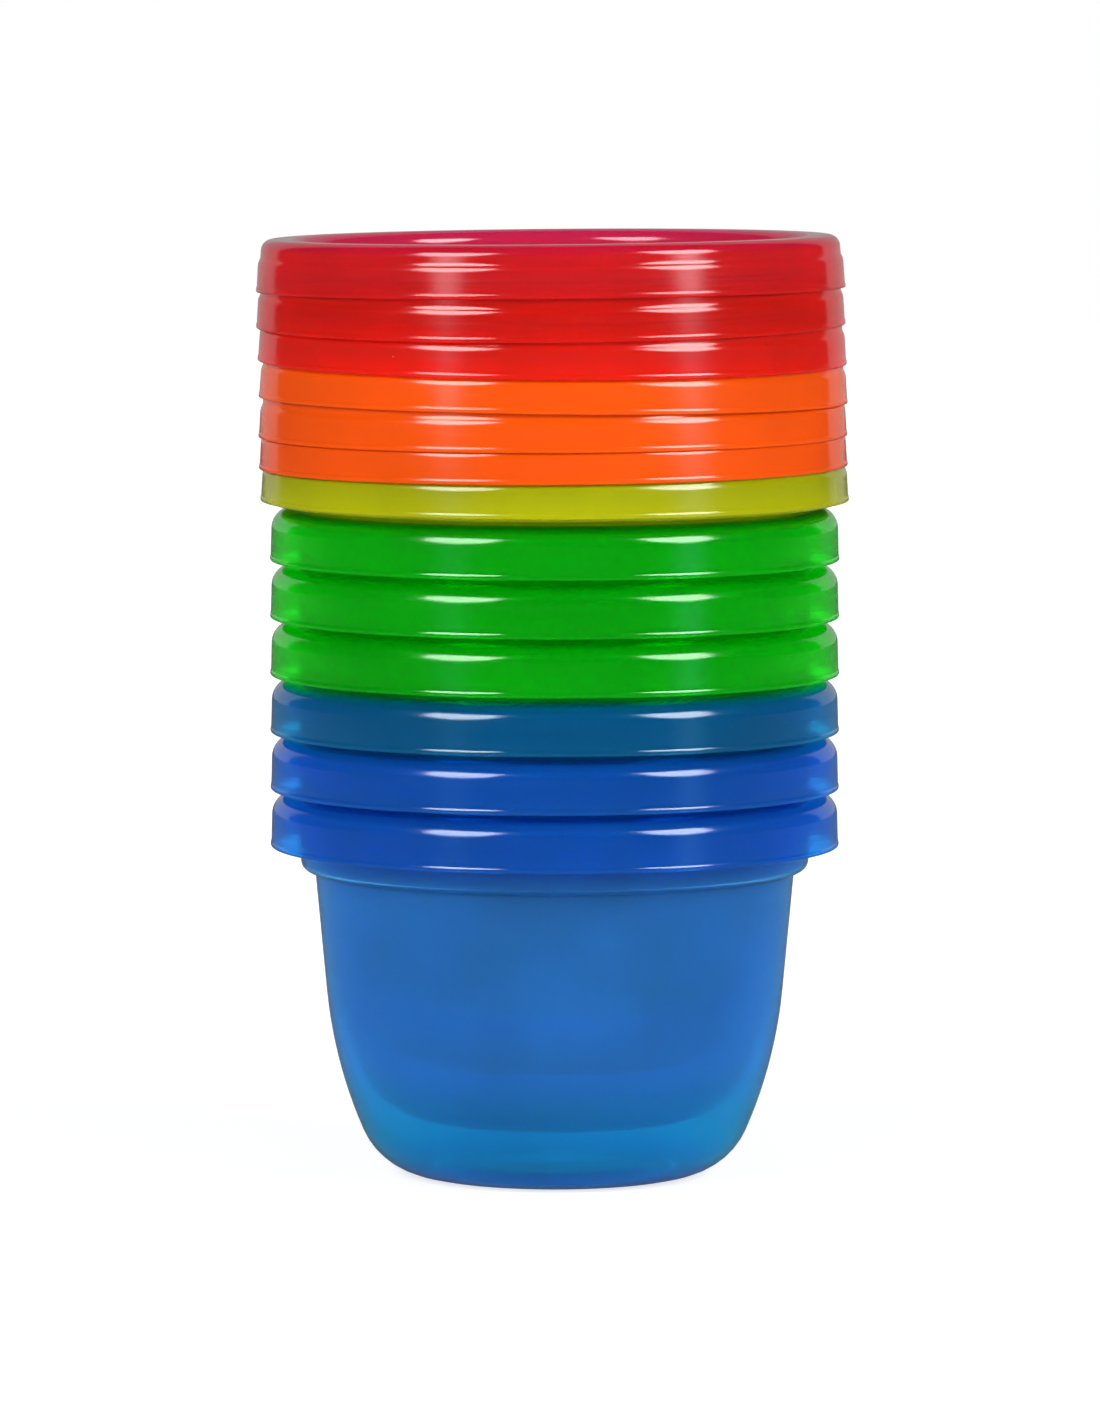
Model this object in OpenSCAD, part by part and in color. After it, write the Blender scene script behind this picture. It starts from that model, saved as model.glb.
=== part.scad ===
// Stack of nesting bowls with their press-on lids.
// Seven thin moulded bowls stand one inside the next, rim over rim.
// The top bowl wears its lid, and six loose lids are perched on that one.
// Every piece is one revolved wall of even thickness, and its section follows
// a path of straight runs and arcs from the centre of its floor out to its lip.

/* [Bowl] */
// Height of one bowl, from the surface it stands on to the crest of its rim
bowl_h = 73.5; // [68:0.5:80]
// Outer radius of the rim's skirt at its lower lip
bowl_r = 54.6; // [53:0.1:55]
// Wall thickness of a bowl
bowl_wall = 0.7; // [0.5:0.05:0.75]
// Lean of the side wall under the collar, in degrees from upright
bowl_draft = 5.4; // [5.3:0.1:7]
// Radius of the long curve from the side wall down to the heel
belly_r = 88; // [78:1:105]
// Radius of the rounded heel that leads into the foot
heel_r = 14; // [10:0.5:16]
// Lean of the wall where the long curve meets the heel, in degrees
heel_lean = 23.5; // [20:0.5:27]
// How far the floor is raised inside the foot
floor_kick = 1; // [0.6:0.1:1.4]
// Width of the flat ring that the bowl stands on
foot_w = 1; // [0.6:0.1:2]

/* [Bowl rim] */
// Height of the rim's skirt, from its lip to the crest
rim_h = 10; // [8.5:0.1:10.4]
// Lean of the skirt, in degrees, wider at the lip
rim_flare = 1.5; // [1:0.5:3]
// How far the band along the rim's lip stands out
lip_w = 0.12; // [0.06:0.02:0.2]
// Height of that band, above the lip
lip_z = 0.55; // [0.5:0.05:1.2]
// Radius of the rim's outer shoulder, on the middle of the wall
rim_shoulder = 3.5; // [3:0.1:3.8]
// Radius of the rim's inner edge, on the middle of the wall
mouth_round = 1.05; // [0.9:0.05:1.6]
// Depth from the crest to the underside of the collar, where the wall steps in
collar_drop = 15.3; // [14.5:0.1:16]
// Flat part of the ledge under the collar
ledge_w = 1; // [0.8:0.05:1.2]
// Rise from one nested bowl to the next
bowl_rise = 11; // [10.8:0.1:14]

/* [Lid] */
// Height of a lid, from its lip to the crest of its ring
lid_h = 10; // [9.5:0.1:11]
// Outer radius of the lid's skirt at its lip
lid_r = 56.4; // [56.2:0.05:57.2]
// Wall thickness of a lid
lid_wall = 0.4; // [0.3:0.05:0.45]
// Lean of the lid's skirt, in degrees, wider at the lip
lid_flare = 3.5; // [3:0.5:5]
// Outer radius of the plug that fills the bowl's mouth
plug_r = 48.3; // [47.6:0.1:48.4]
// Radius of the ring's inner edge, on the middle of the wall
ring_round = 2.2; // [2:0.1:2.6]
// Radius of the ring's outer shoulder, on the middle of the wall
ring_shoulder = 2; // [1.4:0.1:2.2]
// How far the band along the lid's lip stands out
edge_w = 0.1; // [0.06:0.02:0.16]
// Height of that band, above the lip
edge_z = 0.6; // [0.4:0.05:1]
// How far the lower part of the skirt stands out, under a rounded step
step_w = 0.42; // [0.3:0.02:0.46]
// Height of that step, above the lip
step_z = 5; // [4.6:0.1:5.4]

/* [Stack] */
// Rise from one lid to the next when they sit square
lid_rise = 5.6; // [5.5:0.1:6.5]
// How loosely the spare lids lie: 0 is square, 1 is as they were found
lid_slack = 1; // [0:0.1:1]
// Width of the round gate mark under each floor
gate_d = 7.6; // [4:0.2:10]

/* [Hidden] */
$fn = 96;

// Turn of one chord of an arc, in degrees
arc_step = 12;
// Room between a pressed-on lid and the crest of its bowl
lid_gap = 0.1;
// Room left where one lid's plug meets the ring of the lid below
perch_gap = 0.1;
// Turn of each half of the curve between the floor and the foot
kick_turn = 18;
// Lean of the collar from upright, wider at the top
collar_draft = 5;
// Slope of the ledge under the collar
ledge_slope = 15;
// Radii of the two bends of that ledge, on the middle of the wall
ledge_inner = 0.8;
ledge_outer = 1.65;
// Lean of the plug's wall, wider at the top
plug_draft = 1;
// Radius of the plug's lower corner, on the middle of the wall
plug_corner = 0.9;
// Turn of each half of the small steps in the skirts
step_turn = 25;
// Thickness of the gate mark, and how far it is sunk in the floor
gate_t = 0.4;
gate_sink = 0.1;

// How each loose lid lies on the one below, from the lowest up:
// extra rise, shift to the right, left side down and front side down in degrees
lid_lie = [[0.8, -0.25, 0.35, -0.1],
           [0.3, -0.35, 0.2, -0.15],
           [1.3, -0.3, -0.6, -0.45],
           [1.7, -0.5, -0.4, 0.5],
           [1.35, -0.75, 0.4, 0.5],
           [1.3, -0.75, 0.5, -0.75]];

// Colours of the moulded plastic
blue = [0.09, 0.29, 0.70];
green = [0.02, 0.62, 0.08];
yellow = [0.80, 0.78, 0.05];
orange = [0.98, 0.34, 0.03];
red = [0.82, 0.12, 0.10];

// A pose on a path is [radius, height, heading in degrees].
function run(p, length) = [p[0] + length * cos(p[2]), p[1] + length * sin(p[2]), p[2]];

// An arc from a pose, where a positive turn bends to the left
function bend(p, radius, turn) =
    let (s = sign(turn), h = p[2] + turn)
    [p[0] + s * radius * (sin(h) - sin(p[2])), p[1] + s * radius * (cos(p[2]) - cos(h)), h];

// Poses along a list of legs, each [length, 0] for a run or [radius, turn] for an arc
function follow(p, legs, i = 0) = i == len(legs) ? [] :
    let (leg = legs[i],
         n = leg[1] == 0 ? 1 : max(3, ceil(abs(leg[1]) / arc_step)),
         q = [for (k = [1:n]) leg[1] == 0 ? run(p, leg[0]) : bend(p, leg[0], leg[1] * k / n)])
    concat(q, follow(q[n - 1], legs, i + 1));

// A point at a distance to the left of a pose
function beside(p, d) = [p[0] - d * sin(p[2]), p[1] + d * cos(p[2])];

// Section of a wall along a path, with a round lip at the path's end
function wall_section(path, wall) =
    let (n = len(path), tip = path[n - 1])
    concat([for (p = path) beside(p, wall / 2)],
           [for (a = [45:-45:-45]) [tip[0] + wall / 2 * cos(tip[2] + a), tip[1] + wall / 2 * sin(tip[2] + a)]],
           [for (i = [n - 1:-1:0]) beside(path[i], -wall / 2)]);

// A skirt's whole slanted length, from its drop in height, its lean and the width of its step
function slant(drop, lean, step) = (drop + step * sin(lean)) / cos(lean);

// Radius of the two bends of a step, and the length that they take along the skirt
function step_bend(step) = step / (2 * (1 - cos(step_turn)));
function step_length(step) = 2 * step_bend(step) * sin(step_turn);

// Bowl: the skirt and the band along its lip, then the radii from the lip inwards
skirt_drop = rim_h - bowl_wall - rim_shoulder * (1 - sin(rim_flare));
skirt_slant = slant(skirt_drop, rim_flare, lip_w);
lip_run = (lip_z - bowl_wall / 2) / cos(rim_flare);
skirt_run = skirt_slant - step_length(lip_w) - lip_run;
crest_r = bowl_r - bowl_wall / 2 - skirt_slant * sin(rim_flare) - (lip_w + rim_shoulder) * cos(rim_flare);
collar_top_r = crest_r - mouth_round * cos(collar_draft);
ledge_rise = ledge_inner * (cos(ledge_slope) - sin(bowl_draft)) + ledge_w * sin(ledge_slope)
           + ledge_outer * (cos(ledge_slope) - sin(collar_draft));
ledge_out = ledge_inner * (cos(bowl_draft) - sin(ledge_slope)) + ledge_w * cos(ledge_slope)
          + ledge_outer * (cos(collar_draft) - sin(ledge_slope));
collar_top = bowl_h - bowl_wall / 2 - mouth_round * (1 - sin(collar_draft));
collar_run = (collar_top - (bowl_h - collar_drop + ledge_rise)) / cos(collar_draft);
wall_top_r = collar_top_r - collar_run * sin(collar_draft) - ledge_out;
wall_low = bowl_wall / 2 + heel_r * (1 - sin(heel_lean)) + belly_r * (sin(heel_lean) - sin(bowl_draft));
wall_run = (bowl_h - collar_drop - wall_low) / cos(bowl_draft);
kick_bend = floor_kick / (2 * (1 - cos(kick_turn)));
floor_r = wall_top_r - wall_run * sin(bowl_draft) - belly_r * (cos(bowl_draft) - cos(heel_lean))
        - heel_r * cos(heel_lean) - foot_w - 2 * kick_bend * sin(kick_turn);

bowl_start = [0, floor_kick + bowl_wall / 2, 0];
bowl_legs = [[floor_r, 0],
             [kick_bend, -kick_turn], [kick_bend, kick_turn],
             [foot_w, 0],
             [heel_r, 90 - heel_lean],
             [belly_r, heel_lean - bowl_draft],
             [wall_run, 0],
             [ledge_inner, ledge_slope + bowl_draft - 90],
             [ledge_w, 0],
             [ledge_outer, 90 - collar_draft - ledge_slope],
             [collar_run, 0],
             [mouth_round, collar_draft - 90],
             [rim_shoulder, rim_flare - 90],
             [skirt_run, 0],
             [step_bend(lip_w), step_turn], [step_bend(lip_w), -step_turn],
             [lip_run, 0]];

// Lid: the stepped skirt, then the plug, whose depth lets it perch in the ring below
lid_drop = lid_h - lid_wall - ring_shoulder * (1 - sin(lid_flare));
lid_slant = slant(lid_drop, lid_flare, edge_w + step_w);
edge_run = (edge_z - lid_wall / 2) / cos(lid_flare);
lid_low_run = (step_z - edge_z) / cos(lid_flare) - step_length(edge_w);
lid_band_run = lid_slant - step_length(step_w) - lid_low_run - step_length(edge_w) - edge_run;
land_out = lid_r - lid_wall / 2 - lid_slant * sin(lid_flare)
         - (edge_w + step_w + ring_shoulder) * cos(lid_flare);
corner_mid_r = plug_r - lid_wall / 2 - plug_corner;
perch_reach = plug_corner + ring_round + lid_wall;
ring_top = lid_h - lid_wall / 2 - ring_round;
// Twice over, because the plug's lean moves the ring a little outwards
plug_lean = (ring_top - 3.5) * tan(plug_draft);
ring_mid_r = plug_r - lid_wall / 2 + plug_lean + ring_round * cos(plug_draft);
perch_up = sqrt(pow(perch_reach, 2) - pow(ring_mid_r - corner_mid_r, 2));
plug_z = ring_top + perch_up - plug_corner - lid_wall / 2 - lid_rise + perch_gap;
plug_run = (ring_top + ring_round * sin(plug_draft)
         - (plug_z + lid_wall / 2 + plug_corner * (1 - sin(plug_draft)))) / cos(plug_draft);
panel_r = corner_mid_r + plug_corner * (1 - cos(plug_draft));
land_w = land_out - (panel_r + plug_corner * cos(plug_draft) + plug_run * sin(plug_draft)
       + ring_round * cos(plug_draft));

lid_start = [0, plug_z + lid_wall / 2, 0];
lid_legs = [[panel_r, 0],
            [plug_corner, 90 - plug_draft],
            [plug_run, 0],
            [ring_round, plug_draft - 90],
            [land_w, 0],
            [ring_shoulder, lid_flare - 90],
            [lid_band_run, 0],
            [step_bend(step_w), step_turn], [step_bend(step_w), -step_turn],
            [lid_low_run, 0],
            [step_bend(edge_w), step_turn], [step_bend(edge_w), -step_turn],
            [edge_run, 0]];

// Height of the pressed-on lid's lip
lid_base = bowl_h + 6 * bowl_rise + lid_gap + lid_wall - lid_h;

// Sum of the rises up to a loose lid, counted from 1 above the pressed-on one
function lie_rise(i) = i == 0 ? 0 : lie_rise(i - 1) + lid_rise + lid_slack * lid_lie[i - 1][0];

// A bowl in its own frame, standing on its foot
module bowl() {
    rotate_extrude() polygon(wall_section(concat([bowl_start], follow(bowl_start, bowl_legs)), bowl_wall));
    translate([0, 0, floor_kick - gate_t + gate_sink]) cylinder(h = gate_t, d = gate_d);
}

// A lid in its own frame, with its lip at zero
module lid() {
    rotate_extrude() polygon(wall_section(concat([lid_start], follow(lid_start, lid_legs)), lid_wall));
    translate([0, 0, plug_z - gate_t + gate_sink]) cylinder(h = gate_t, d = gate_d);
}

// The bowl that is i-th from the bottom, counted from 0
module nested_bowl(i) translate([0, 0, i * bowl_rise]) bowl();

// The loose lid that is i-th above the pressed-on one, counted from 1
module loose_lid(i) {
    lie = lid_slack * lid_lie[i - 1];
    translate([lie[1], 0, lid_base + lie_rise(i)]) rotate([lie[3], -lie[2], 0]) lid();
}

module bowl_blue_1() color(blue) nested_bowl(0);
module bowl_blue_2() color(blue) nested_bowl(1);
module bowl_blue_3() color(blue) nested_bowl(2);
module bowl_green_1() color(green) nested_bowl(3);
module bowl_green_2() color(green) nested_bowl(4);
module bowl_green_3() color(green) nested_bowl(5);
module bowl_yellow() color(yellow) nested_bowl(6);
module lid_yellow() color(yellow) translate([0, 0, lid_base]) lid();
module lid_orange_1() color(orange) loose_lid(1);
module lid_orange_2() color(orange) loose_lid(2);
module lid_orange_3() color(orange) loose_lid(3);
module lid_red_1() color(red) loose_lid(4);
module lid_red_2() color(red) loose_lid(5);
module lid_red_3() color(red) loose_lid(6);

bowl_blue_1();
bowl_blue_2();
bowl_blue_3();
bowl_green_1();
bowl_green_2();
bowl_green_3();
bowl_yellow();
lid_yellow();
lid_orange_1();
lid_orange_2();
lid_orange_3();
lid_red_1();
lid_red_2();
lid_red_3();
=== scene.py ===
import math

import bmesh
import bpy
from mathutils import Matrix, Vector


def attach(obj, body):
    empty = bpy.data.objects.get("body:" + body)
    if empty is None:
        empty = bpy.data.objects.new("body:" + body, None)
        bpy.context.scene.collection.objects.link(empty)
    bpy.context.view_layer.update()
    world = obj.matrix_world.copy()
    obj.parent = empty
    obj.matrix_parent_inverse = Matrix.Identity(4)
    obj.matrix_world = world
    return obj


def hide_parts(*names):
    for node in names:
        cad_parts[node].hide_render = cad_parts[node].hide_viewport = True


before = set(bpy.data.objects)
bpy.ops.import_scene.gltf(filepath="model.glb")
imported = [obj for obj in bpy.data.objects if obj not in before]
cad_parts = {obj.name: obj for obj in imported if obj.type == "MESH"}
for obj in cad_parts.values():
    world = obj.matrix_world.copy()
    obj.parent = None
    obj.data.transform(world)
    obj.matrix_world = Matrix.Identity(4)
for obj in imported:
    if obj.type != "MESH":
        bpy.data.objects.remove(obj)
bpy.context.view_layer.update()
mm = 0.001
print("frame loaded:", len(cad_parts), "nodes")


# camera of the photograph, a long lens a little above the stack
cameraSetup = {
    "lens": 246.3,                   # mm
    "sensor": 36,                    # mm along the frame's long side
    "distance": 1.869,               # m from the point aimed at
    "elevation": 5.2,                # degrees above the level
    "aim": (-0.0009, 0.0, 0.08925),
}


def makeCamera(setup):
    data = bpy.data.cameras.new("stackCamera")
    data.lens = setup["lens"]
    data.sensor_width = setup["sensor"]
    data.sensor_fit = "AUTO"
    camera = bpy.data.objects.new("stackCamera", data)
    bpy.context.scene.collection.objects.link(camera)
    tilt = math.radians(setup["elevation"])
    back = Vector((0, -math.cos(tilt), math.sin(tilt)))
    camera.location = Vector(setup["aim"]) + back * setup["distance"]
    camera.rotation_euler = (-back).to_track_quat("-Z", "Y").to_euler()
    bpy.context.scene.camera = camera


makeCamera(cameraSetup)
print("camera placed")


# a wall's section is a list of legs along its middle: (length, 0) is a straight run,
# (radius, turn in degrees) an arc, where a positive turn bends to the left;
# legSpan gives how far such a list goes outwards and up, from a heading in degrees
def legSpan(legs, heading):
    heading = math.radians(heading)
    out = up = 0
    for size, turn in legs:
        after = heading + math.radians(turn)
        if turn == 0:
            out += size * math.cos(heading)
            up += size * math.sin(heading)
        else:
            side = math.copysign(size, turn)
            out += side * (math.sin(after) - math.sin(heading))
            up += side * (math.cos(heading) - math.cos(after))
        heading = after
    return out, up


def legsOut(legs, heading):
    return legSpan(legs, heading)[0]


def legsUp(legs, heading):
    return legSpan(legs, heading)[1]


# a straight run that leans by some degrees from upright and covers a height
def leaningRun(height, lean):
    return [(height / math.cos(math.radians(lean)), 0)]


# two equal arcs that shift a wall sideways
def sideStep(offset, turn):
    radius = offset / (2 * (1 - math.cos(math.radians(turn))))
    return [(radius, turn), (radius, -turn)]


# how finely walls are spun, and the round mark that the moulding gate leaves under each floor
spinSetup = {
    "steps": 192,                    # round the axis
    "chordTurn": 8,                  # degrees of an arc for one chord
    "chordLength": 2.5,              # mm of an arc for one chord
    "leastChords": 4,
    "merge": 1e-6,                   # m
    "gateRadius": 3.8,               # mm
    "gateDrop": 0.3,
    "gateEdge": 0.12,
}


def walkRun(bm, tip, heading, length):
    tip = bmesh.ops.extrude_vert_indiv(bm, verts=[tip])["verts"][0]
    along = Vector((math.cos(heading), 0, math.sin(heading)))
    bmesh.ops.translate(bm, verts=[tip], vec=along * length * mm)
    return tip


def walkArc(bm, tip, heading, radius, turn):
    side = math.copysign(radius * mm, turn)
    centre = tip.co + Vector((-math.sin(heading), 0, math.cos(heading))) * side
    byTurn = round(abs(turn) / spinSetup["chordTurn"])
    byLength = round(radius * math.radians(abs(turn)) / spinSetup["chordLength"])
    chords = max(spinSetup["leastChords"], byTurn, byLength)
    last = bmesh.ops.spin(bm, geom=[tip], cent=centre, axis=(0, -1, 0),
                          angle=math.radians(turn), steps=chords)["geom_last"]
    return [v for v in last if isinstance(v, bmesh.types.BMVert)][0]


def walkLegs(bm, tip, heading, legs, offset):
    for size, turn in legs:
        if turn == 0:
            tip = walkRun(bm, tip, heading, size)
        else:
            tip = walkArc(bm, tip, heading, size + math.copysign(offset, turn), turn)
            heading += math.radians(turn)
    return tip, heading


# the outline goes from the gate mark along the lower and outer side, round the lip and back inside
def spinWall(wall, floor, legs):
    half = wall / 2
    gateRadius = spinSetup["gateRadius"]
    gateDrop = spinSetup["gateDrop"]
    gateEdge = spinSetup["gateEdge"]
    gate = [(gateRadius - gateEdge, 0), (gateEdge, 90), (gateDrop - 2 * gateEdge, 0), (gateEdge, -90)]
    outer = [(legs[0][0] - gateRadius - gateEdge, 0)] + legs[1:]
    lip = [(half, 180)]
    inner = [(size, -turn) for size, turn in reversed(legs)]
    bm = bmesh.new()
    tip = bm.verts.new((0, 0, (floor - half - gateDrop) * mm))
    tip, heading = walkLegs(bm, tip, 0, gate, 0)
    tip, heading = walkLegs(bm, tip, heading, outer, half)
    tip, heading = walkLegs(bm, tip, heading, lip, 0)
    walkLegs(bm, tip, heading, inner, half)
    bmesh.ops.spin(bm, geom=bm.verts[:] + bm.edges[:], axis=(0, 0, 1), cent=(0, 0, 0),
                   angle=2 * math.pi, steps=spinSetup["steps"], use_merge=True)
    bmesh.ops.remove_doubles(bm, verts=bm.verts, dist=spinSetup["merge"])
    bmesh.ops.recalc_face_normals(bm, faces=bm.faces)
    ownHeight = bm.verts.layers.float.new("ownHeight")    # mm up the piece, read by its plastic
    for vert in bm.verts:
        vert[ownHeight] = vert.co.z / mm
    for face in bm.faces:
        face.smooth = True
    return bm


# tints of the translucent plastics, from the foot to the rim over a height of "tall" mm, how clear
# they are, and how much rougher the flat panel of a lid is; the tint of a lid's recess is a painted
# reflection, and blue_3 and the reds are lit and shaded copies of one plastic, which is painted light
plastics = {
    "blue": {
        "tall": 75, "clear": 0.86, "matt": 0,
        "foot": (0.016, 0.30, 0.82), "heel": (0.010, 0.52, 0.84),
        "wall": (0.075, 0.50, 1.0), "rim": (0.012, 0.27, 0.88),
    },
    # a teal copy of the blue for the top blue bowl: painted light of the green bowl that shows lit through
    # its rim
    "blue_3": {
        "tall": 75, "clear": 0.86, "matt": 0,
        "foot": (0.016, 0.30, 0.82), "heel": (0.010, 0.52, 0.84),
        "wall": (0.030, 0.52, 0.86), "rim": (0.002, 0.31, 0.65),
    },
    "green": {
        "tall": 75, "clear": 0.86, "matt": 0,
        "foot": (0.003, 0.88, 0.010), "heel": (0.003, 0.88, 0.010),
        "wall": (0.008, 1.0, 0.015), "rim": (0.003, 0.84, 0.010),
    },
    "yellow": {                      # its lid is low, and shows the foot and heel tints
        "tall": 75, "clear": 0.5, "matt": 0.5,
        "foot": (0.60, 0.62, 0.002), "heel": (0.52, 0.54, 0.002),
        "wall": (0.86, 0.88, 0.004), "rim": (0.82, 0.84, 0.003),
    },
    "orange": {
        "tall": 10, "clear": 0.32, "matt": 0.5,
        "foot": (1.0, 0.12, 0.002), "heel": (1.0, 0.105, 0.002),
        "wall": (1.0, 0.105, 0.002), "rim": (1.0, 0.10, 0.002),
    },
    # the red lids are lit and shaded copies of one red: the lowest is lighter, painted light of the orange
    # lids shining through it
    "red_1": {
        "tall": 10, "clear": 0.66, "matt": 0.5,
        "foot": (1.0, 0.026, 0.010), "heel": (1.0, 0.026, 0.010),
        "wall": (1.0, 0.024, 0.012), "rim": (0.95, 0.02, 0.02),
    },
    "red_2": {
        "tall": 10, "clear": 0.72, "matt": 0.5,
        "foot": (0.98, 0.024, 0.012), "heel": (0.96, 0.022, 0.012),
        "wall": (0.94, 0.020, 0.012), "rim": (0.90, 0.02, 0.02),
    },
    # the top red lid is a darker copy, and its magenta rim tint on the crest and its recess tint are painted
    # reflection
    "red_3": {
        "tall": 10, "clear": 0.72, "matt": 0.5, "paintedReflection": (0.76, 0.04, 0.16),
        "foot": (0.94, 0.024, 0.024), "heel": (0.92, 0.024, 0.026),
        "wall": (0.90, 0.026, 0.032), "rim": (0.80, 0.02, 0.07),
    },
}
# what all of them share; tints lie at shares of the height, and on a bowl the wall tint, lighter than the
# rim's,
# reaches up the collar under the rim: painted light that lifts the shaded gap between rims
mouldedFinish = {
    "ior": 1.5,
    "tintAt": [(0.02, "foot"), (0.07, "heel"), (0.15, "heel"), (0.32, "wall"), (0.8, "wall"), (0.86, "rim")],
    "noiseDetail": 3,
    "noiseSpan": (0.3, 0.7),         # the part of a noise's range that is used
    "cloudScale": 45,
    "cloudTone": (0.92, 1),
    "dustScale": 150,
    "dustReach": (0.03, 0.015),      # distance from its middle at which a speck fades in, in cells
    "dustCover": (0, 0.6),
    "dustRare": 0.62,                # a cell's random level above which it has a speck
    "dustColour": (0.85, 0.85, 0.85),
    "ringAcross": 30,                # noise for each m sideways
    "ringUp": 1.7,                   # noise for each mm up
    "ringGloss": (0.08, 0.15),
    "ringStrength": 0.6,
    "ringDepth": 0.000006,           # m
    "panelReach": (0.0465, 0.0455),  # m from the axis
    "panelHeight": (3.7, 3.3),       # mm up the lid
    "paintedReflectionReach": (0.0515, 0.0495),  # m from the axis
}


def mathNode(tree, kind, first, second):
    node = tree.nodes.new("ShaderNodeMath")
    node.operation = kind
    for socket, value in zip(node.inputs, (first, second)):
        if isinstance(value, (int, float)):
            socket.default_value = value
        else:
            tree.links.new(value, socket)
    return node.outputs["Value"]


# eases from the first of two levels to the second while the value crosses a span
def easeNode(tree, value, span, levels):
    node = tree.nodes.new("ShaderNodeMapRange")
    node.interpolation_type = "SMOOTHSTEP"
    node.inputs["From Min"].default_value, node.inputs["From Max"].default_value = span
    node.inputs["To Min"].default_value, node.inputs["To Max"].default_value = levels
    tree.links.new(value, node.inputs["Value"])
    return node.outputs["Result"]


def noiseNode(tree, vector, scale):
    node = tree.nodes.new("ShaderNodeTexNoise")
    node.inputs["Scale"].default_value = scale
    node.inputs["Detail"].default_value = mouldedFinish["noiseDetail"]
    tree.links.new(vector, node.inputs["Vector"])
    return node.outputs["Fac"]


def blendNode(tree, kind, share, first, second):
    node = tree.nodes.new("ShaderNodeMix")
    node.data_type = "RGBA"
    node.blend_type = kind
    for name, value in (("Factor", share), ("A", first), ("B", second)):
        socket = [s for s in node.inputs if s.name == name and s.enabled][0]
        if isinstance(value, bpy.types.NodeSocket):
            tree.links.new(value, socket)
        else:
            socket.default_value = value
    return [s for s in node.outputs if s.enabled][0]


def splitNode(tree, vector):
    node = tree.nodes.new("ShaderNodeSeparateXYZ")
    tree.links.new(vector, node.inputs["Vector"])
    return node.outputs


def joinNode(tree, values):
    node = tree.nodes.new("ShaderNodeCombineXYZ")
    for axis, value in values.items():
        tree.links.new(value, node.inputs[axis])
    return node.outputs["Vector"]


def lengthNode(tree, vector):
    node = tree.nodes.new("ShaderNodeVectorMath")
    node.operation = "LENGTH"
    tree.links.new(vector, node.inputs[0])
    return node.outputs["Value"]


def tintUpPiece(tree, height, finish):
    ramp = tree.nodes.new("ShaderNodeValToRGB")
    stops = ramp.color_ramp.elements
    for level, zone in mouldedFinish["tintAt"]:
        stops.new(level).color = (*finish[zone], 1)
    stops.remove(stops[-1])          # the two stops that a new ramp has
    stops.remove(stops[0])
    tree.links.new(mathNode(tree, "DIVIDE", height, finish["tall"]), ramp.inputs["Fac"])
    return ramp.outputs["Color"]


# uneven wall thickness
def cloudedTint(tree, where, tint):
    cloud = noiseNode(tree, where, mouldedFinish["cloudScale"])
    tone = easeNode(tree, cloud, mouldedFinish["noiseSpan"], mouldedFinish["cloudTone"])
    return blendNode(tree, "MULTIPLY", 1, tint, tone)


# a few specks of dust
def dustedTint(tree, where, tint):
    cells = tree.nodes.new("ShaderNodeTexVoronoi")
    cells.inputs["Scale"].default_value = mouldedFinish["dustScale"]
    tree.links.new(where, cells.inputs["Vector"])
    near = easeNode(tree, cells.outputs["Distance"], mouldedFinish["dustReach"], mouldedFinish["dustCover"])
    few = mathNode(tree, "GREATER_THAN", cells.outputs["Color"], mouldedFinish["dustRare"])
    speck = mathNode(tree, "MULTIPLY", near, few)
    return blendNode(tree, "MIX", speck, tint, (*mouldedFinish["dustColour"], 1))


# fine rings left by the mould
def mouldRings(tree, spot, height):
    across = {axis: mathNode(tree, "MULTIPLY", spot[axis], mouldedFinish["ringAcross"]) for axis in "XY"}
    upwards = mathNode(tree, "MULTIPLY", height, mouldedFinish["ringUp"])
    return noiseNode(tree, joinNode(tree, {**across, "Z": upwards}), 1)


def tintedPlastic(colour, finish):
    material = bpy.data.materials.new(colour + "Plastic")
    material.use_nodes = True
    tree = material.node_tree
    shader = tree.nodes["Principled BSDF"]
    shader.inputs["Transmission Weight"].default_value = finish["clear"]
    shader.inputs["IOR"].default_value = mouldedFinish["ior"]
    where = tree.nodes.new("ShaderNodeTexCoord").outputs["Object"]
    spot = splitNode(tree, where)
    reach = lengthNode(tree, joinNode(tree, {"X": spot["X"], "Y": spot["Y"]}))    # from the axis
    attribute = tree.nodes.new("ShaderNodeAttribute")
    attribute.attribute_name = "ownHeight"
    height = attribute.outputs["Fac"]

    tint = tintUpPiece(tree, height, finish)
    tint = cloudedTint(tree, where, tint)
    tint = dustedTint(tree, where, tint)
    # the recess of the top lid gets a magenta tint: a painted reflection
    if "paintedReflection" in finish:
        inside = easeNode(tree, reach, mouldedFinish["paintedReflectionReach"], (0, 1))
        tint = blendNode(tree, "MIX", inside, tint, (*finish["paintedReflection"], 1))
    tree.links.new(tint, shader.inputs["Base Color"])

    # the rings show in the gloss and in the surface, and the flat panel of a lid is moulded matt
    rings = mouldRings(tree, spot, height)
    gloss = easeNode(tree, rings, mouldedFinish["noiseSpan"], mouldedFinish["ringGloss"])
    panel = easeNode(tree, reach, mouldedFinish["panelReach"], (0, finish["matt"]))
    low = easeNode(tree, height, mouldedFinish["panelHeight"], (0, 1))
    rough = mathNode(tree, "ADD", gloss, mathNode(tree, "MULTIPLY", panel, low))
    tree.links.new(rough, shader.inputs["Roughness"])
    bump = tree.nodes.new("ShaderNodeBump")
    bump.inputs["Strength"].default_value = mouldedFinish["ringStrength"]
    bump.inputs["Distance"].default_value = mouldedFinish["ringDepth"]
    tree.links.new(rings, bump.inputs["Height"])
    tree.links.new(bump.outputs["Normal"], shader.inputs["Normal"])
    return material


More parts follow.
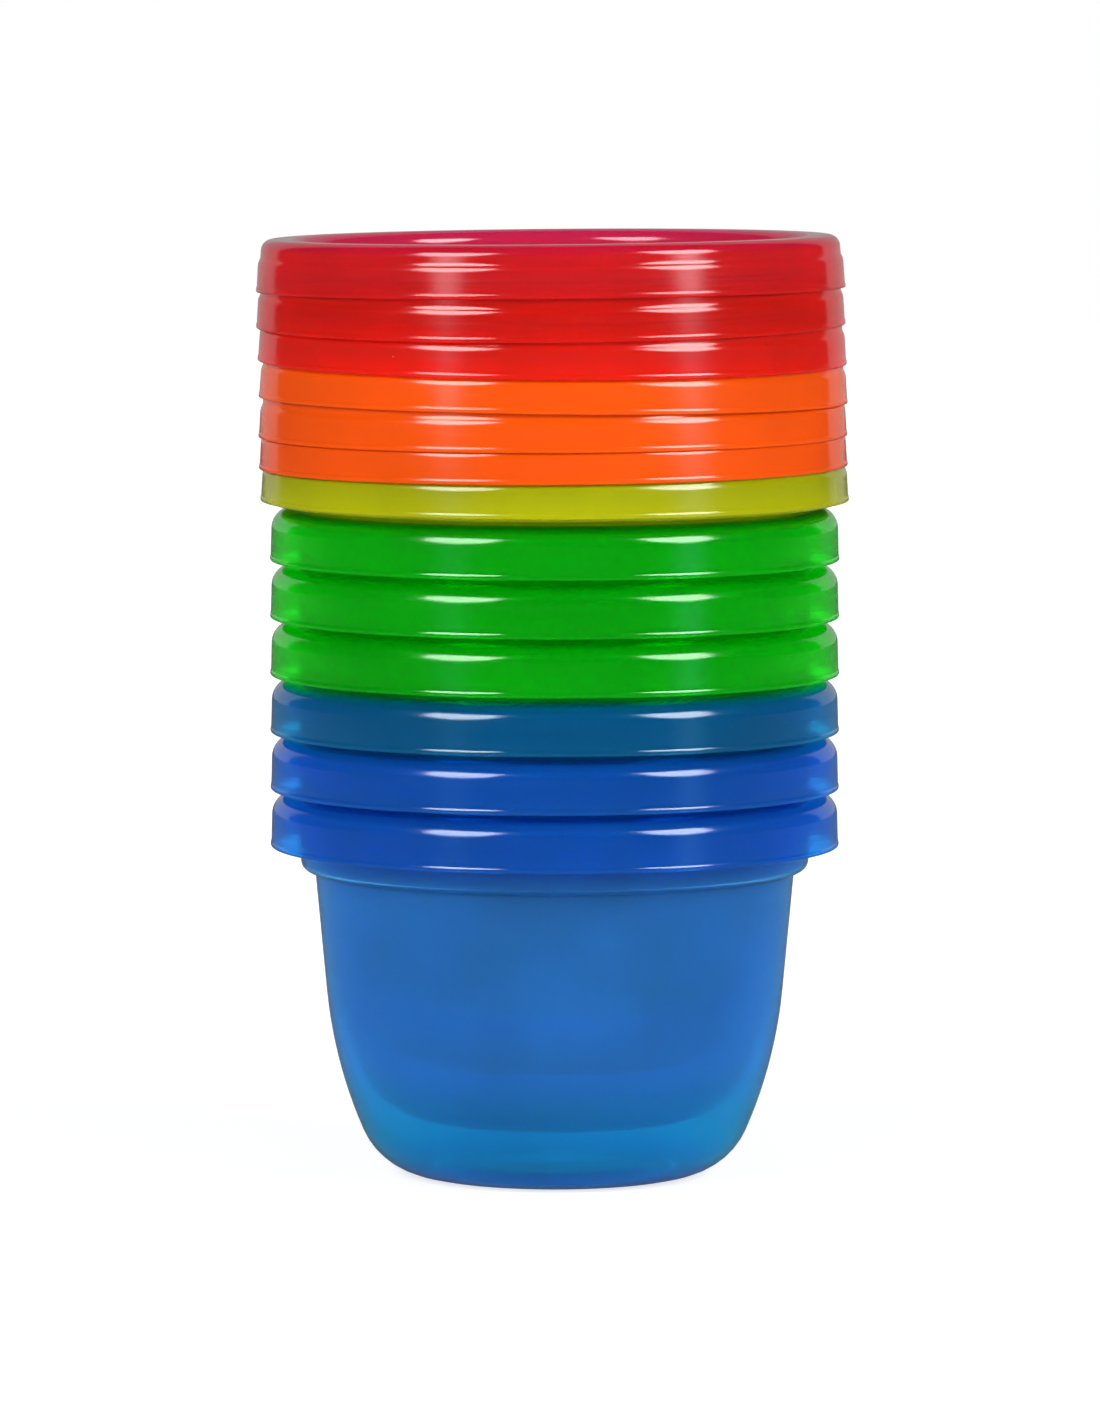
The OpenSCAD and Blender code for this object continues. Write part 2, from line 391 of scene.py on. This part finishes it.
plasticOf = {colour: tintedPlastic(colour, finish) for colour, finish in plastics.items()}
print("plastics mixed:", ", ".join(plasticOf))


# a tag such as blue_3 has a lit or shaded copy of its colour's plastic, which is painted light, or else the
# plastic of its colour
def placePiece(bm, kind, tag, place):
    name = kind + "Wall_" + tag
    node = kind + "_" + tag
    colour = tag.split("_")[0]
    mesh = bpy.data.meshes.new(name)
    bm.to_mesh(mesh)
    mesh.transform(place)
    mesh.materials.append(plasticOf.get(tag) or plasticOf[colour])
    piece = bpy.data.objects.new(name, mesh)
    bpy.context.scene.collection.objects.link(piece)
    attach(piece, node)
    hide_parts(node)


# a bowl, in mm and degrees; radii of bends are on the middle of the wall
bowlSize = {
    "high": 73.5,                    # from the surface to the rim's crest
    "radius": 54.6,                  # outside, at the lip of the rim's skirt
    "wall": 0.7,
    "kick": 1.0,                     # rise of the floor inside the foot
    "kickTurn": 18,
    "foot": 1.0,                     # width of the flat ring that it stands on
    "heel": 14.0,                    # radius of the rounded heel
    "heelLean": 23.5,                # where the heel meets the belly
    "belly": 88.0,                   # radius of the long curve up to the side wall
    "draft": 5.4,                    # lean of the side wall
    "collarDrop": 15.3,              # from the crest to where the wall steps out
    "collarDraft": 5,
    "ledge": 1.0,                    # flat part of that ledge
    "ledgeSlope": 15,
    "ledgeInner": 0.8,
    "ledgeOuter": 1.65,
    "mouth": 1.05,                   # rim's inner edge
    "shoulder": 3.5,                 # rim's outer edge
    "rimHigh": 10.0,
    "rimFlare": 1.5,                 # lean of the rim's skirt
    "lipOut": 0.12,                  # band along the lip
    "lipHigh": 0.55,
    "lipTurn": 25,
    "rise": 11.0,                    # from one nested bowl to the next
}
bowlOrder = ["blue_1", "blue_2", "blue_3", "green_1", "green_2", "green_3", "yellow"]


def bowlFloor(size):
    return size["kick"] + size["wall"] / 2


def bowlLegs(size):
    half = size["wall"] / 2
    draft, collarDraft, flare = size["draft"], size["collarDraft"], size["rimFlare"]
    crest = size["high"] - half
    wallTop = size["high"] - size["collarDrop"]
    base = sideStep(size["kick"], -size["kickTurn"]) + [
        (size["foot"], 0),
        (size["heel"], 90 - size["heelLean"]),
        (size["belly"], size["heelLean"] - draft),
    ]
    ledge = [
        (size["ledgeInner"], size["ledgeSlope"] + draft - 90),
        (size["ledge"], 0),
        (size["ledgeOuter"], 90 - collarDraft - size["ledgeSlope"]),
    ]
    mouth = [(size["mouth"], collarDraft - 90)]
    shoulder = [(size["shoulder"], flare - 90)]
    lip = sideStep(size["lipOut"], size["lipTurn"]) + leaningRun(size["lipHigh"] - half, flare)
    # straight runs fill the heights that the bends leave, and the floor fills the radius
    side = leaningRun(wallTop - bowlFloor(size) - legsUp(base, 0), draft)
    collarTop = crest - legsUp(mouth, 90 - collarDraft)
    collar = leaningRun(collarTop - wallTop - legsUp(ledge, 90 - draft), collarDraft)
    skirt = leaningRun(size["rimHigh"] - size["wall"] + legsUp(shoulder, 0) + legsUp(lip, flare - 90), flare)
    wall = base + side + ledge + collar + mouth + shoulder + skirt + lip
    return [(size["radius"] - half - legsOut(wall, 0), 0)] + wall


def makeBowls():
    bm = spinWall(bowlSize["wall"], bowlFloor(bowlSize), bowlLegs(bowlSize))
    for count, tag in enumerate(bowlOrder):
        placePiece(bm, "bowl", tag, Matrix.Translation((0, 0, count * bowlSize["rise"] * mm)))
    print("bowls spun:", len(bm.faces), "faces each")
    bm.free()


makeBowls()


# a lid, in mm and degrees, with its lip at zero; radii of bends are on the middle of the wall
lidSize = {
    "high": 10.0,                    # from the lip to the ring's crest
    "radius": 56.4,                  # outside, at the lip
    "wall": 0.4,
    "panel": 2.681,                  # middle of the sunk panel, so that a lid perches on the ring below
    "plug": 48.3,                    # outer radius of the plug that fills a bowl's mouth
    "plugDraft": 1,
    "plugCorner": 0.9,
    "ring": 2.2,                     # ring's inner edge
    "shoulder": 2.0,                 # ring's outer edge
    "flare": 3.5,                    # lean of the skirt
    "stepOut": 0.42,                 # rounded step, below which the skirt stands out
    "stepHigh": 5.0,
    "edgeOut": 0.1,                  # band along the lip
    "edgeHigh": 0.6,
    "stepTurn": 25,
    "gap": 0.1,                      # over the crest of the bowl that wears a lid
    "rise": 5.6,                     # from one lid to the next
}
# extra rise, shift to the right, left side down and front side down of each loose lid
lidLie = {
    "yellow": (0, 0, 0, 0),
    "orange_1": (0.8, -0.25, 0.35, -0.1),
    "orange_2": (0.3, -0.35, 0.2, -0.15),
    "orange_3": (1.3, -0.3, -0.6, -0.45),
    "red_1": (1.7, -0.5, -0.4, 0.5),
    "red_2": (1.35, -0.75, 0.4, 0.5),
    "red_3": (1.3, -0.75, 0.5, -0.75),
}


def lidLegs(size):
    half = size["wall"] / 2
    plugDraft, flare = size["plugDraft"], size["flare"]
    corner = [(size["plugCorner"], 90 - plugDraft)]
    ring = [(size["ring"], plugDraft - 90)]
    shoulder = [(size["shoulder"], flare - 90)]
    step = sideStep(size["stepOut"], size["stepTurn"])
    edgeStep = sideStep(size["edgeOut"], size["stepTurn"])
    edge = edgeStep + leaningRun(size["edgeHigh"] - half, flare)
    fromStep = leaningRun(size["stepHigh"] - size["edgeHigh"], flare)[0][0]
    lower = step + [(fromStep - legsOut(edgeStep, 0), 0)] + edge
    # straight runs fill the heights that the bends leave, and the ring's top fills the radius
    panel = [(size["plug"] - half - legsOut(corner, 0), 0)]
    plugTop = size["high"] - half - legsUp(ring, 90 - plugDraft)
    plug = leaningRun(plugTop - size["panel"] - legsUp(corner, 0), plugDraft)
    upper = leaningRun(size["high"] - size["wall"] + legsUp(shoulder, 0) + legsUp(lower, flare - 90), flare)
    recess = panel + corner + plug + ring
    skirt = shoulder + upper + lower
    return recess + [(size["radius"] - half - legsOut(recess + skirt, 0), 0)] + skirt


def makeLids():
    bm = spinWall(lidSize["wall"], lidSize["panel"], lidLegs(lidSize))
    topCrest = bowlSize["high"] + (len(bowlOrder) - 1) * bowlSize["rise"]
    height = topCrest + lidSize["gap"] + lidSize["wall"] - lidSize["high"] - lidSize["rise"]
    for tag, (extra, shift, leftDown, frontDown) in lidLie.items():
        height += lidSize["rise"] + extra
        seat = Matrix.Translation((shift * mm, 0, height * mm))
        sideways = Matrix.Rotation(math.radians(-leftDown), 4, "Y")
        forwards = Matrix.Rotation(math.radians(frontDown), 4, "X")
        placePiece(bm, "lid", tag, seat @ (sideways @ forwards))
    print("lids spun:", len(bm.faces), "faces each")
    bm.free()


makeLids()


# sizes in m; a level of 1 is white
stageSetup = {
    "floorHalf": 30.0,
    "floorMatt": 0.5,
    "floorGlow": 0.75,               # near the stack, where its shadow shows
    "shadowNear": 0.12,
    "shadowFar": 0.7,                # the floor is white from here on
    "backdropFar": 3.2,
    "backdropHalf": 2.9,
    "worldLight": 0.15,
    "horizonLight": 2.5,
    "horizonHigh": 0.3,              # upward part of a direction where the horizon's light ends
    "worldGloss": 0.03,              # levels in reflections
    "floorGloss": 0.12,
    "backdropGloss": 0.4,
}
# softboxes to the left and right of the camera: degrees round and above the stack, sizes in m, watts,
# and the level of a faint veil of light
boxSetup = {
    "boxes": {
        "leftBox": {"turn": -41, "lift": 18, "size": (0.72, 1.0), "power": 25, "veil": 0.036},
        "rightBox": {"turn": 55, "lift": 18, "size": (0.68, 1.0), "power": 25, "veil": 0.066},
    },
    "far": 1.2,
    "aim": (0, 0, 0.12),
    "bow": 1.4,                      # how far the bright part's lower edge curves up to its ends
    "brightFrom": (0.25, 0.5),       # share of the height where it begins
    "brightSides": (0.25, 0.12),     # square of the distance from the middle where it ends
    "veilColour": (0.3, 0.75, 1),    # of the faint light that covers the whole box
}


# full level where the view ends, straight or through the plastic, and a lower one in its reflections
def levelForView(tree, gloss):
    path = tree.nodes.new("ShaderNodeLightPath").outputs
    straight = mathNode(tree, "MAXIMUM", path["Is Camera Ray"], path["Is Transmission Ray"])
    mirrored = mathNode(tree, "MULTIPLY", path["Is Glossy Ray"], gloss)
    return mathNode(tree, "MAXIMUM", straight, mirrored)


def diffuseRay(tree):
    return tree.nodes.new("ShaderNodeLightPath").outputs["Is Diffuse Ray"]


def addShaders(tree, first, second, output):
    both = tree.nodes.new("ShaderNodeAddShader")
    tree.links.new(first.outputs[0], both.inputs[0])
    tree.links.new(second.outputs[0], both.inputs[1])
    tree.links.new(both.outputs["Shader"], output.inputs["Surface"])


def emptyMaterial(name):
    material = bpy.data.materials.new(name)
    material.use_nodes = True
    material.node_tree.nodes.clear()
    return material, material.node_tree, material.node_tree.nodes.new("ShaderNodeOutputMaterial")


def makeSheet(name, place):
    bm = bmesh.new()
    bmesh.ops.create_grid(bm, x_segments=1, y_segments=1, size=1)
    mesh = bpy.data.meshes.new(name)
    bm.to_mesh(mesh)
    bm.free()
    mesh.transform(place)
    sheet = bpy.data.objects.new(name, mesh)
    bpy.context.scene.collection.objects.link(sheet)
    return sheet


# the world is white to the view, and its light comes mostly from near the horizon
def makeWorld(setup):
    world = bpy.data.worlds.new("studio")
    bpy.context.scene.world = world
    world.use_nodes = True
    tree = world.node_tree
    heading = splitNode(tree, tree.nodes.new("ShaderNodeTexCoord").outputs["Generated"])
    levels = (setup["worldLight"], setup["horizonLight"])
    light = easeNode(tree, heading["Z"], (setup["horizonHigh"], 0), levels)
    lit = mathNode(tree, "MULTIPLY", diffuseRay(tree), light)
    strength = mathNode(tree, "MAXIMUM", levelForView(tree, setup["worldGloss"]), lit)
    ground = tree.nodes["Background"]
    ground.inputs["Color"].default_value = (1, 1, 1, 1)
    tree.links.new(strength, ground.inputs["Strength"])


# the shadow shows near the stack, and white lies beyond
def makeFloor(setup):
    floor = makeSheet("floor", Matrix.Scale(setup["floorHalf"], 4))
    paper, tree, output = emptyMaterial("floorPaper")
    seen = levelForView(tree, setup["floorGloss"])
    matt = tree.nodes.new("ShaderNodeBsdfDiffuse")
    shade = mathNode(tree, "MAXIMUM", seen, diffuseRay(tree))
    tree.links.new(mathNode(tree, "MULTIPLY", shade, setup["floorMatt"]), matt.inputs["Color"])
    glow = tree.nodes.new("ShaderNodeEmission")
    reach = lengthNode(tree, tree.nodes.new("ShaderNodeTexCoord").outputs["Object"])
    fade = easeNode(tree, reach, (setup["shadowNear"], setup["shadowFar"]), (setup["floorGlow"], 1))
    tree.links.new(mathNode(tree, "MULTIPLY", seen, fade), glow.inputs["Strength"])
    addShaders(tree, matt, glow, output)
    floor.data.materials.append(paper)


def makeBackdrop(setup):
    half = setup["backdropHalf"]
    stand = Matrix.Translation((0, setup["backdropFar"], half)) @ Matrix.Rotation(math.radians(90), 4, "X")
    backdrop = makeSheet("backdrop", stand @ Matrix.Scale(half, 4))
    paper, tree, output = emptyMaterial("backdropPaper")
    glow = tree.nodes.new("ShaderNodeEmission")
    tree.links.new(levelForView(tree, setup["backdropGloss"]), glow.inputs["Strength"])
    tree.links.new(glow.outputs["Emission"], output.inputs["Surface"])
    backdrop.data.materials.append(paper)


# a tall softbox, bright in its upper part, with a faint cool veil of light over the whole of it
def softBox(name, box, setup):
    data = bpy.data.lights.new(name, "AREA")
    data.shape = "RECTANGLE"
    data.size, data.size_y = box["size"]
    data.energy = box["power"]
    data.use_nodes = True
    tree = data.node_tree
    spot = splitNode(tree, tree.nodes.new("ShaderNodeNewGeometry").outputs["Parametric"])
    half = 0.5                       # the box's own coordinates go from 0 to 1
    aside = mathNode(tree, "SUBTRACT", spot["X"], half)
    asideSquare = mathNode(tree, "MULTIPLY", aside, aside)
    level = mathNode(tree, "SUBTRACT", spot["Y"], mathNode(tree, "MULTIPLY", asideSquare, setup["bow"]))
    upper = easeNode(tree, level, setup["brightFrom"], (0, 1))
    within = easeNode(tree, asideSquare, setup["brightSides"], (0, 1))
    bright = tree.nodes["Emission"]
    tree.links.new(mathNode(tree, "MULTIPLY", upper, within), bright.inputs["Strength"])
    middle = easeNode(tree, mathNode(tree, "ABSOLUTE", aside, 0), (half, 0), (0, 1))
    faint = mathNode(tree, "MULTIPLY", mathNode(tree, "MULTIPLY", middle, middle), box["veil"])
    veil = tree.nodes.new("ShaderNodeEmission")
    veil.inputs["Color"].default_value = (*setup["veilColour"], 1)
    tree.links.new(faint, veil.inputs["Strength"])
    output = [node for node in tree.nodes if node.type == "OUTPUT_LIGHT"][0]
    addShaders(tree, bright, veil, output)
    lamp = bpy.data.objects.new(name, data)
    bpy.context.scene.collection.objects.link(lamp)
    turn, lift = math.radians(box["turn"]), math.radians(box["lift"])
    out = Vector((math.sin(turn) * math.cos(lift), -math.cos(turn) * math.cos(lift), math.sin(lift)))
    lamp.location = Vector(setup["aim"]) + out * setup["far"]
    lamp.rotation_euler = out.to_track_quat("Z", "Y").to_euler()
    lamp.visible_camera = False


makeWorld(stageSetup)
makeFloor(stageSetup)
makeBackdrop(stageSetup)
for boxName, boxValues in boxSetup["boxes"].items():
    softBox(boxName, boxValues, boxSetup)
print("stage and lights set")

# light passes many nested walls
scene = bpy.context.scene
scene.view_settings.view_transform = "Standard"
scene.cycles.max_bounces = 40
scene.cycles.transmission_bounces = 40
scene.cycles.diffuse_bounces = 8
scene.cycles.glossy_bounces = 6
